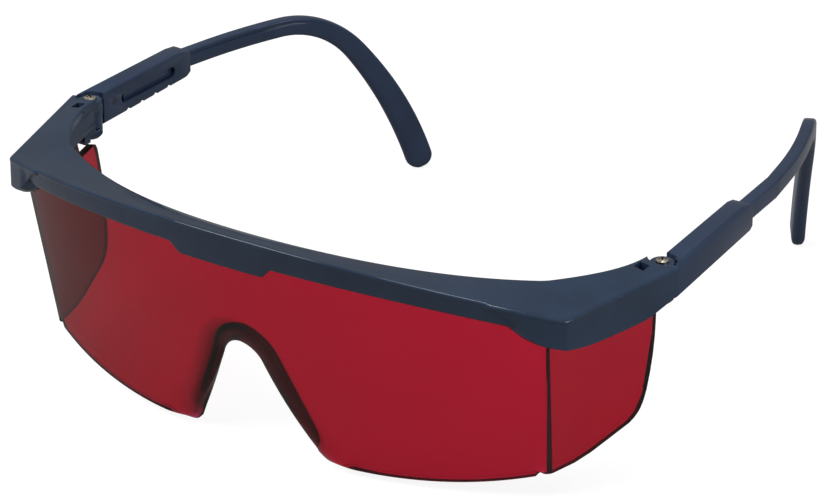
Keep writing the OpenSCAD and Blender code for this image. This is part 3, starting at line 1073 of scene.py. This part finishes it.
    def ends(self, side: Side) -> tuple[list[Piece], list[Piece]]:
        """Makes the solid end with its ears, and the tools that open them.

        Args:
            side: which end.

        Returns:
            The solids to add and the tools to cut with.
        """
        r, low, top, knee = self.boss_d / 2, self.ear_low, self.boss_top, self.knuckle_top
        outline = [(-3, -6), (1.6, -6), (2.6, -1.2), (r, 0), (-r, 0), (-3, -0.5)]
        wedge = Bench.prism(outline, low + self.ear_taper, top - 0.3)
        boss = Bench.bullet(r, r - self.ear_taper, low, low + self.ear_taper, top)
        Bench.ease(boss, self.boss_ease, 3)
        bed, roof, hole = knee - self.knuckle_h - 0.1, knee + 0.1, self.screw_d / 2
        tools = [
            Bench.rod(r + 0.3, bed, roof),  # room for the fold block's knuckle
            Bench.block((-12, -1.9, bed), (0, 10.1, roof)),  # its sweep, inwards
            Bench.block((-14 - r - 0.2, -2.9, low - 1), (-r - 0.2, 13.1, low + 13)),  # room inside
            Bench.rod(hole + 0.05, knee - 1, knee + 3),  # free hole in the upper ear
            Bench.rod(hole, low - 1, low + 5),  # tight hole in the lower ear
            Bench.block((-2.5, -7.2, -0.9), (-0.2, -4.6, 3.1)),  # pocket in the shelf
            Bench.rod(r + 0.45, top, top + 4),  # flat round the screw's head
            Bench.block((-4, -4, -2.2), (0, 4, 1.8)),  # slanted foot of the lower ear
        ]
        slant = Matrix.Rotation(math.radians(35), 4, "Y")
        tools[-1].data.transform(Matrix.Translation((-r - 0.1, 0, low)) @ slant)
        seat, mirrored = Matrix.Translation(self.form.hinge), side is Side.LEFT
        return ([Bench.place(o, seat, mirrored) for o in (wedge, boss)],
                [Bench.place(o, seat, mirrored) for o in tools])

    def build(self) -> Piece:
        """Builds the whole frame.

        Returns:
            The frame with both ends, cut and joined.
        """
        frame = Bench.skin("brow_frame", both_halves(self.stations()))
        solids, tools = [], []
        for side in Side:
            more, cutters = self.ends(side)
            solids += more
            tools += cutters
        Bench.combine(frame, Bench.join(solids), "UNION")
        Bench.combine(frame, Bench.join(tools), "DIFFERENCE")
        Bench.shade(frame, 40)
        return frame


@dataclass(frozen=True)
class EdgeSpot:
    """One place on the lens's lower edge and what the flange does there.

    point and way are the place and the direction into the lens in X and Z; reach, deep and lift
    say how far the flange's rear edge lies past the place, behind the front and above it; roll is
    the share of the front's rounding.
    """

    point: Vector
    way: Vector
    reach: float
    deep: float
    lift: float
    roll: float


@dataclass
class VisorLens:
    """One-piece lens: bowed front, creased side shields and the rolled nose notch's flange."""

    form: FaceForm
    drop: float = 44.6
    shield_drop: float = 35.4
    nose_radius: float = 6.2
    nose_top: float = 18.4
    nose_slope: float = 22.0
    nose_flare: float = 40.0
    nose_depth: float = 4.6
    nose_rise: float = 20.0
    nose_wall: float = 1.8
    lobe_radius: float = 9.0
    lobe_rise: float = 5.2
    lobe_end: float = 64.0
    flange_reach: float = 3.0
    flange_root: float = 0.3
    lobe_roll: float = 0.4
    edge_roll: float = 0.06
    roll_width: float = 4.5
    roll_depth: float = 2.0
    back_width: float = 3.4
    back_depth: float = 1.3
    foot: float = 6.5
    top_inset: float = 3.2
    crease_round: float = 1.1
    crease_room: float = 2.6

    # How far a shield's rear edge stands ahead of its furthest place, at heights above its foot.
    REAR = [(0, 4.2), (1, 2.7), (2.3, 1.6), (4.1, 0.9), (6.6, 0.4), (10.8, 0.1), (15, 0),
            (19.5, 0.2), (23.7, 0.6), (25.8, 0.9), (26.3, 1.5)]
    # Heights of a shield's upper edge, at depths.
    TOPS = [(0, -3), (20.5, -3), (21.6, -4.2), (22.4, -9.1), (40, -9.1)]
    # Rows of points above the lower edge's profile, and crowded ones at a shield's foot.
    RISE_ROWS, CLOSE_ROWS = 14, 12
    # Columns of points round the crease and along a shield.
    CREASE_TURNS, SHIELD_COLUMNS = 6, 44

    def __post_init__(self) -> None:
        """Works out the arcs of the notch."""
        a, b = self.nose_slope, self.nose_flare
        self.crown_z = -self.nose_top - self.nose_radius
        self.leg_radius = ((self.drop + self.crown_z + self.nose_radius * sind(a)
                            - self.lobe_radius * (1 - sind(b))) / (sind(b) - sind(a)))
        x = (self.nose_radius * cosd(a) + self.leg_radius * (cosd(a) - cosd(b))
             + self.lobe_radius * cosd(b))
        self.lobe = Vector((x, self.lobe_radius - self.drop))
        self.leg = self.lobe + (self.leg_radius - self.lobe_radius) * ray(b)

    def bottom_z(self, x: float) -> float:
        """Height of the lens's lower edge."""
        share = max(0, x - self.lobe[0]) / (self.lobe_end - self.lobe[0])
        return -self.drop + self.lobe_rise * share**2.5

    def edge(self) -> list[EdgeSpot]:
        """The lower edge from the middle of the notch to the crease: crown, leg, lobe, foot.

        Returns:
            The right half's places, in order.
        """
        slope, flare, root, wall = (self.nose_slope, self.nose_flare, self.flange_root,
                                    self.form.lens_wall)
        deep, lift = self.nose_depth * cosd(self.nose_rise), self.nose_depth * sind(self.nose_rise)
        crown, low = Vector((0, self.crown_z)), deep - 2
        out: list[EdgeSpot] = []
        for t in starts(0, 1, 14):
            n = ray(mix(90, slope, t))
            out.append(EdgeSpot(crown + n * self.nose_radius, n, -root * t, deep,
                                lift * (1 - t), 1))
        for t in starts(0, 1, 26):
            n = ray(mix(slope, flare, t))
            out.append(EdgeSpot(self.leg - n * self.leg_radius, n,
                                mix(-root, self.flange_reach, t**2.2), mix(deep, low, t**3), 0,
                                mix(1, self.lobe_roll, smooth(t))))
        for t in starts(0, 1, 16):
            n = ray(mix(flare, 90, t))
            out.append(EdgeSpot(self.lobe - n * self.lobe_radius, n,
                                mix(self.flange_reach, -root, smooth((t - 0.2) / 0.8)),
                                mix(low, wall + 0.1, t), 0,
                                mix(self.lobe_roll, self.edge_roll, t)))
        last = self.form.shield_x(self.form.crease_y(-40), -40) - self.crease_room
        for i in range(31):
            x, fade = mix(self.lobe[0], last, i / 30), max(0, 1 - i / 4)
            rise = (self.bottom_z(x + 0.05) - self.bottom_z(x - 0.05)) / 0.1
            out.append(EdgeSpot(Vector((x, self.bottom_z(x))), Vector((-rise, 1)).normalized(),
                                -root * fade, wall + 0.1 * fade, 0, self.edge_roll * fade))
        return out

    def inward(self, x: float) -> Vector:
        """Direction from the front surface into the lens.

        Args:
            x: place across the face.

        Returns:
            A direction of length 1.
        """
        f = self.form
        c = math.sqrt(1 - (x / f.lens_radius) ** 2)
        return Vector((-x / f.lens_radius, c * cosd(f.lens_tilt), c * sind(f.lens_tilt)))

    def section(self, spot: EdgeSpot) -> tuple[Table, Table]:
        """Profile near the lower edge.

        Args:
            spot: the place on the edge.

        Returns:
            Outer and inner path as (distance from the edge, depth behind the front) pairs, both
            from the flange's end towards the middle of the lens.
        """
        wall, deep, roll = self.form.lens_wall, spot.deep, spot.roll
        stands = smooth((deep - wall) / 1.2)
        tip = mix(0.06, 0.3, stands)
        end, tuck = deep - tip, roll * mix(0.2, 1.0, stands)
        wide, dip = mix(0.3, self.roll_width, roll), min(mix(0.3, self.roll_depth, roll), end - 0.2)
        turn = strides(0, 90, 8)
        outer = [(tip, deep), (0.3 * tip, deep - 0.3 * tip), (0, end)]
        outer += zip(strides(0, -tuck, 4), strides(end, dip, 4))
        outer += [(wide * (1 - cosd(a)) - tuck, dip * (1 - sind(a))) for a in turn]
        outer += [(d, 0) for d in strides(wide - tuck, self.foot, 3)]
        thick, back = mix(0.6, self.nose_wall, stands), mix(0.05, self.back_width, roll)
        high = mix(0.0, self.back_depth, stands)
        inner = [(thick - tip, deep), (thick - 0.3 * tip, deep - 0.3 * tip), (thick, end)]
        inner += [(thick, e) for e in strides(end, min(end, wall + high), 4)]
        inner += [(thick + back * (1 - cosd(a)), wall + mix(min(end - wall, high), 0, sind(a)))
                  for a in turn]
        inner += [(d, wall) for d in strides(thick + back, self.foot, 3)]
        return outer, inner

    def front_rings(self) -> list[Ring]:
        """Closed profiles of the front from the middle to the crease.

        Returns:
            The right half, from the outer foot round to the inner one.
        """
        f, rings = self.form, []
        span = f.shield_x(f.crease_y(-self.top_inset), -self.top_inset)
        for spot in self.edge():
            foot = spot.point + spot.way * self.foot
            top = f.ridge_z(min(1, foot[0] / span)) - self.top_inset
            stands = smooth((spot.deep - f.lens_wall) / 1.5)

            def place(d: float, e: float) -> Vector:
                """A point d inside the edge and e behind the front."""
                share, near = min(1, e / spot.deep), 1 - smooth(d / self.foot)
                at = spot.point + spot.way * (d - spot.reach * share * near)
                back = mix(self.inward(at[0]) * e, Vector((0, e, 0)), stands * near)
                z = at[1] + spot.lift * share * near
                return Vector((at[0], f.front_y(at[0], at[1]), z)) + back

            rise = [Vector((foot[0], f.front_y(foot[0], z), z))
                    for z in strides(foot[1], top, self.RISE_ROWS)]
            outer, inner = self.section(spot)
            depth = self.inward(foot[0]) * f.lens_wall
            back = [place(*pair) for pair in inner] + [p + depth for p in rise]
            rings.append([place(*pair) for pair in outer] + rise + back[::-1])
        return rings

    def rear_y(self, w: float) -> float:
        """Depth of a shield's rear edge at height w above its lower corner."""
        return self.form.side_length + 0.3 - lookup(w, self.REAR)

    def crease(self, z: float, g: float = 0.0) -> Vector:
        """Outer edge of the crease at height z, or of a face g outside it."""
        y = self.form.crease_y(z, g)
        return Vector((self.form.shield_x(y, z, g), y, z))

    def rounding(self, z: float) -> float:
        """Reach of the crease's rounding, which widens downwards."""
        return mix(0.45, self.crease_round, smooth((-6 - z) / 34))

    def crease_pair(self, z: float, t: float) -> tuple[Vector, Vector]:
        """Outer and inner point of the rounded crease at height z, t from 0 to 1 round it.

        Args:
            z: height.
            t: share of the way round.

        Returns:
            The outer and the inner point.
        """
        f, tip = self.form, self.crease(z)
        ahead = Vector((-1, -(f.front_y(tip[0], z) - f.front_y(tip[0] - 1, z)), 0)).normalized()
        behind = Vector((tand(f.shield_flare), 1, 0)).normalized()
        return tuple(bow(point + ahead * reach, point, point + behind * reach, t) for point, reach
                     in ((tip, self.rounding(z)), (self.crease(z, -f.lens_wall), 0.4)))

    def shield_rings(self) -> list[Ring]:
        """Closed profiles of the crease and of a side shield.

        Returns:
            The right side, with as many points each as the front's.
        """
        f, inside, low0 = self.form, self.form.shield_in * self.form.lens_wall, self.bottom_z(63.4)
        rows = len(self.section(self.edge()[0])[0]) + self.RISE_ROWS
        shares = [0.004 * k * (1 + 0.25 * k) for k in range(self.CLOSE_ROWS)]
        shares += strides(shares[-1], 1, rows - self.CLOSE_ROWS)
        rings: list[Ring] = []
        for k in range(self.CREASE_TURNS):
            t = k / (self.CREASE_TURNS - 1)
            pairs = [self.crease_pair(mix(low0, -self.top_inset, w), t) for w in shares]
            rings.append([p for p, _ in pairs] + [q for _, q in reversed(pairs)])
        drop, room = self.shield_drop, self.crease_room
        lows = [(-12, low0 - 1.4), (0, low0 - 0.7), (6.8, low0), (12.4, low0 + 0.2),
                (16.8, low0 + 1), (21.8, -1.7 - drop), (27.2, -drop), (40, -drop)]
        for v in strides(0, 1, self.SHIELD_COLUMNS):
            low = lookup(mix(f.crease_y(-38) + room, self.rear_y(0), v), lows)
            top = lookup(mix(f.crease_y(-5) + room, self.rear_y(26), v), self.TOPS)
            ring = []
            for w in shares:
                z = mix(low, top, w)
                y = mix(f.crease_y(z) + room, self.rear_y(z + drop), v)
                ring.append(Vector((f.shield_x(y, z), y, z)))
            rings.append(ring + [p + inside for p in reversed(ring)])
        return rings

    def is_rim(self, middle: Vector, normal: Vector) -> bool:
        """Tells whether a face belongs to a rim or to the crease, which are painted near black as
        painted shade.

        Args:
            middle: the face's middle in the corner frame, mirrored to the right side.
            normal: its normal, mirrored too.

        Returns:
            True for rims and for the rounding of the crease.
        """
        tip = self.crease(middle[2])
        if middle[0] < self.lobe[0] - 2:
            return False
        # the crease's rounding also takes the near-black painted shade
        if (middle - tip).length < 0.62 * self.rounding(middle[2]):
            return True
        if middle[1] > tip[1] + 1.5 and middle[0] > 60:
            return abs(normal.dot(self.form.shield_in)) < 0.5
        return abs(normal.dot(self.inward(min(middle[0], 66)))) < 0.32

    def build(self, glass: Finish, rim: Finish) -> Piece:
        """Builds the lens and paints its rims and crease near black as painted shade.

        Args:
            glass: the lens's finish.
            rim: the near-black painted shade for its rims and crease.

        Returns:
            The lens.
        """
        rings = self.front_rings() + self.shield_rings()
        lens = Bench.skin("visor_lens", both_halves(rings))
        Bench.shade(lens, 50)
        lens.data.materials.append(glass)
        lens.data.materials.append(rim)
        seat = Vector((0, SEAT_Y, SEAT_Z))
        for face in lens.data.polygons:
            side = Vector((1 if face.center[0] >= 0 else -1, 1, 1))
            middle = face.center * side / MM + seat
            # painted shade: rim and crease faces take the near-black material
            face.material_index = int(self.is_rim(middle, face.normal * side))
        return lens


# --------------------------------------------------------------------------- temples


@dataclass
class Temple:
    """One temple: tilting sleeve, hinge block, screw, pin and the arm that slides in the sleeve."""

    form: FaceForm
    side: Side
    fold: float
    pulled: int
    open_turn: float = 1.8
    sleeve_l: float = 34.5
    sleeve_ease: float = 0.18
    block_ease: float = 0.15
    blade_x: float = 1.5
    blade_mid: float = -1.95
    blade_start: float = 11.7
    notch_pitch: float = 4.8
    arm_w: float = 2.8
    arm_h: float = 4.2
    straight: float = 29.4
    toe: float = 7.6
    drop: float = 1.8
    curve: float = 22.5
    curve_start: float = 7.5
    curve_l: float = 50.0
    ear_radius: float = 27.0
    ear_turn: float = 50.0
    hook_l: float = 37.0
    hook_turn: float = 21.5
    hook_h: float = 6.4
    hook_w: float = 3.2
    groove: float = 0.38

    @property
    def bend(self) -> float:
        """Length of the ear bend."""
        return self.ear_radius * math.radians(self.ear_turn)

    @property
    def length(self) -> float:
        """Length of the arm behind the sleeve."""
        return self.straight + self.bend + self.hook_l

    @property
    def axes(self) -> Matrix:
        """The temple's own axes: the fold screw at the origin, Y along the sleeve, X outward."""
        turn = Matrix.Rotation(math.radians(self.open_turn + self.fold), 4, "Z")
        return Matrix.Translation(self.form.hinge) @ turn

    def to_face(self, point: Vector) -> Vector:
        """Carries a point from the temple's axes into the corner frame."""
        p = self.axes @ point
        return Vector((self.side.value * p[0], p[1], p[2]))

    def heading(self, t: float) -> float:
        """Inward turn in degrees at t along the arm, past the short kink at its start."""
        share = max(0, min(1, (t - self.curve_start) / self.curve_l))
        return 0 if t < 0.2 else self.toe + self.curve * share

    def slope(self, t: float) -> float:
        """Downward turn in degrees at t along the arm.

        Args:
            t: place along the arm, 0 at the sleeve's end.

        Returns:
            The turn in degrees.
        """
        bent = max(0, min(1, (t - self.straight) / self.bend))
        return ((0 if t < 0.5 else self.drop) + self.ear_turn * bent
                + self.hook_turn * max(0, t - self.straight - self.bend) / self.hook_l)

    def path(self) -> list[Vector]:
        """Middle line of the arm behind the sleeve.

        Returns:
            Points at equal steps, the first at the sleeve's end.
        """
        steps = 240
        points, step = [Vector((0, 0, 0))], self.length / steps
        for i in range(steps):
            a, b = self.heading((i + 0.5) * step), self.slope((i + 0.5) * step)
            way = Vector((-sind(a) * cosd(b), cosd(a) * cosd(b), -sind(b)))
            points.append(points[-1] + way * step)
        return points

    def middle(self, t: float, path: Sequence[Vector]) -> Vector:
        """Middle of the arm at t along it, from the sleeve's end; below 0 it lies in the sleeve.

        Args:
            t: place along the arm.
            path: the arm's middle line.

        Returns:
            A point from the sleeve's end.
        """
        if t <= 0:
            return Vector((0, t, 0))
        u = min(t / self.length, 1) * (len(path) - 1)
        i = min(int(u), len(path) - 2)
        return mix(path[i], path[i + 1], u - i)

    def arm_ring(self, t: float, path: Sequence[Vector]) -> Ring:
        """Rounded profile of the arm at t along it, in the temple's axes.

        Args:
            t: place along the arm, 0 at the sleeve's end.
            path: the arm's middle line.

        Returns:
            The profile, with the groove that runs along the arm's inner face.
        """
        tip_r = self.hook_h / 2
        grow = smooth((t - self.straight) / (self.bend + self.hook_l * 0.8))
        tip = max(0, (t - self.length + tip_r) / tip_r)
        k = math.sqrt(max(0.004, 1 - tip * tip))
        h = mix(self.arm_h / 2, self.hook_h / 2, grow) * k
        w = mix(self.arm_w / 2, self.hook_w / 2, grow) * mix(0.35, 1, k)
        g = (0.1 if t < 0 else self.groove * (1 - smooth((t - self.straight + 6) / 16))) * w / 1.4
        a, b = (0 if t < 0.5 else self.heading(t)), self.slope(t)
        across = Vector((cosd(a), sind(a), 0))
        up = Vector((-sind(a) * sind(b), cosd(a) * sind(b), cosd(b)))
        corners = [(-w, -h), (w, -h), (w, h), (-w, h), (-w, h * 0.66), (g - w, h * 0.6),
                   (g - w, h * 0.42), (-w, h * 0.36)]
        soft = 0.42 if t < 0 else mix(0.6, 1.15, grow)
        radii = [min(soft * w, 0.6 * h)] * 4 + [0.12 * h, 0.1, 0.1, 0.12 * h]
        start = self.sleeve_l + self.pulled * self.notch_pitch
        origin = Vector((self.blade_x, start, self.blade_mid)) + self.middle(t, path)
        return rounded([origin + across * x + up * z for x, z in corners], radii, 4)

    def build_arm(self) -> Piece:
        """Builds the sliding arm with its ear bend and rounded tip.

        Returns:
            The arm in the row frame.
        """
        path, start, tip_r = self.path(), self.straight + self.bend, self.hook_h / 2
        places = [self.blade_start - self.sleeve_l, -0.4, 0.1, 0.6]
        places += starts(1.2, self.straight, 22)
        places += [self.straight + self.bend * i / 34 for i in range(34)]
        places += [start + (self.hook_l - tip_r) * i / 26 for i in range(27)]
        places += [self.length - tip_r * (1 - sind(90 * i / 14)) for i in range(1, 15)]
        rings = [[self.to_face(p) for p in self.arm_ring(t, path)] for t in places]
        arm = Bench.skin(f"temple_arm_{self.side.word}", rings)
        Bench.shade(arm, 40)
        return arm

    def build(self, solids: dict[str, Piece], finishes: dict[str, Finish]) -> None:
        """Builds and dresses all pieces of the temple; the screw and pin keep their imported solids.

        Args:
            solids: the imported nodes' objects.
            finishes: the finishes, by slot.
        """
        word, slot = self.side.word, "temple_plastic"
        arm, sleeve, block = f"arm_{word}", f"sleeve_{word}", f"hinge_block_{word}"
        dress(self.build_arm(), arm, slot, finishes, [arm])
        piece = Bench.moulding(solids[sleeve], f"temple_{sleeve}", self.sleeve_ease)
        dress(piece, sleeve, slot, finishes, [sleeve])
        piece = Bench.moulding(solids[block], f"fold_block_{word}", self.block_ease)
        dress(piece, f"block_{word}", slot, finishes, [block])
        for node, metal in (("pivot_pin", "pin_steel"), ("hinge_screw", "screw_steel")):
            materials = solids[f"{node}_{word}"].data.materials
            materials.clear()
            materials.append(finishes[metal])


# --------------------------------------------------------------------------- studio


@dataclass(frozen=True)
class Lamp:
    """A large soft lamp: place and width in metres, power in watts."""

    name: str
    at: tuple[float, float, float]
    size: float
    power: float

    def hang(self, aim: Vector) -> None:
        """Adds the lamp and turns it to a point.

        Args:
            aim: the point that it lights.
        """
        Bench.clear()
        bpy.ops.object.light_add(type="AREA", location=self.at)
        lamp = bpy.context.object
        lamp.name = self.name
        lamp.data.shape = "DISK"
        lamp.data.size = self.size
        lamp.data.energy = self.power
        lamp.rotation_mode = "QUATERNION"
        lamp.rotation_quaternion = (aim - Vector(self.at)).to_track_quat("-Z", "Y")


LAMPS = (
    Lamp("key", (-0.55, -0.75, 0.95), 0.9, 14),
    Lamp("top", (0.25, -0.15, 1.3), 0.5, 5),
    Lamp("fill", (1.1, 0.1, 0.35), 0.8, 6),
)


@dataclass(frozen=True)
class Studio:
    """Camera, soft light and the pale floor."""

    azimuth: float = 33.85
    elevation: float = 25.76
    distance: float = 950.0
    shift_right: float = 27.97
    shift_up: float = -3.10
    lens: float = 200.24
    horizon: float = 0.16
    zenith: float = 0.3
    floor_size: float = 6.0
    floor_gap: float = 0.0002
    floor_grey: float = 0.22
    floor_glow: float = 0.86
    floor_spill: float = 0.02
    white: tuple[float, float, float, float] = (1, 1, 1, 1)

    def camera(self) -> None:
        """Puts the camera where the photograph was taken from."""
        a, e = self.azimuth, self.elevation
        back = Vector((sind(a) * cosd(e), -cosd(a) * cosd(e), sind(e)))
        right = Vector((cosd(a), sind(a), 0))
        up = back.cross(right)
        Bench.clear()
        bpy.ops.object.camera_add()
        camera = bpy.context.object
        camera.name = "camera"
        at = right * self.shift_right + up * self.shift_up + back * self.distance
        camera.location = to_row(at)
        camera.rotation_mode = "QUATERNION"
        camera.rotation_quaternion = Matrix((right, up, back)).transposed().to_quaternion()
        camera.data.lens = self.lens
        camera.data.sensor_width = 36
        camera.data.sensor_fit = "HORIZONTAL"
        camera.data.clip_start, camera.data.clip_end = 0.01, 20
        bpy.context.scene.camera = camera

    def world(self) -> None:
        """Surrounds the object with even pale light and shows plain white behind it."""
        world = bpy.data.worlds.new("tent")
        bpy.context.scene.world = world
        desk = NodeDesk(world, "Generated")
        height = desk.add("ShaderNodeSeparateXYZ", Vector=desk.place).outputs["Z"]
        light = desk.span(height, self.horizon, self.zenith, 0.0, 0.8)
        dim = desk.add("ShaderNodeBackground", Color=self.white, Strength=light)
        desk.finish(desk.shown(dim, desk.add("ShaderNodeBackground", Color=self.white)))

    def floor(self, height: float) -> None:
        """Lays a pale floor that shows white and keeps the object's soft shadow.

        Args:
            height: its height in metres.
        """
        Bench.clear()
        bpy.ops.mesh.primitive_plane_add(size=self.floor_size, location=(0, 0, height))
        floor = Bench.settle(Bench.named("floor"))
        desk = NodeDesk.material("floor_white")
        matt = desk.add("ShaderNodeBsdfDiffuse", Color=shade_of(self.white, self.floor_grey))
        glow = desk.add("ShaderNodeEmission", Color=self.white, Strength=self.floor_glow)
        spill = desk.add("ShaderNodeEmission", Color=self.white, Strength=self.floor_spill)
        own = desk.shown(spill, glow)
        both = desk.add("ShaderNodeAddShader", in0=matt.outputs[0], in1=own.outputs[0])
        floor.data.materials.append(desk.finish(both))
        floor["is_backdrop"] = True

    def build(self) -> None:
        """Sets the camera, the light and the floor."""
        self.camera()
        self.world()
        for lamp in LAMPS:
            lamp.hang(Vector((0, 0.05, 0)))
        low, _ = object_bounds()
        self.floor(low[2] - self.floor_gap)
        bpy.context.scene.view_settings.view_transform = "Standard"


def main() -> None:
    """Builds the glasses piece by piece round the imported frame."""
    logging.basicConfig(level=logging.INFO, format="%(message)s")
    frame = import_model()
    form = FaceForm()
    finishes = {slot: finish.make() for slot, finish in FINISHES.items()}
    dress(BrowFrame(form).build(), "frame", "frame_plastic", finishes, ["frame"])
    lens = VisorLens(form).build(finishes["lens_tint"], finishes["lens_rim"])
    dress(lens, "frame", "lens_tint", finishes, ["lens"])
    Temple(form, Side.LEFT, fold=0.0, pulled=0).build(frame["nodes"], finishes)
    Temple(form, Side.RIGHT, fold=2.5, pulled=3).build(frame["nodes"], finishes)
    Studio().build()
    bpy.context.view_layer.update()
    Bench.clear()


if __name__ == "__main__":
    main()
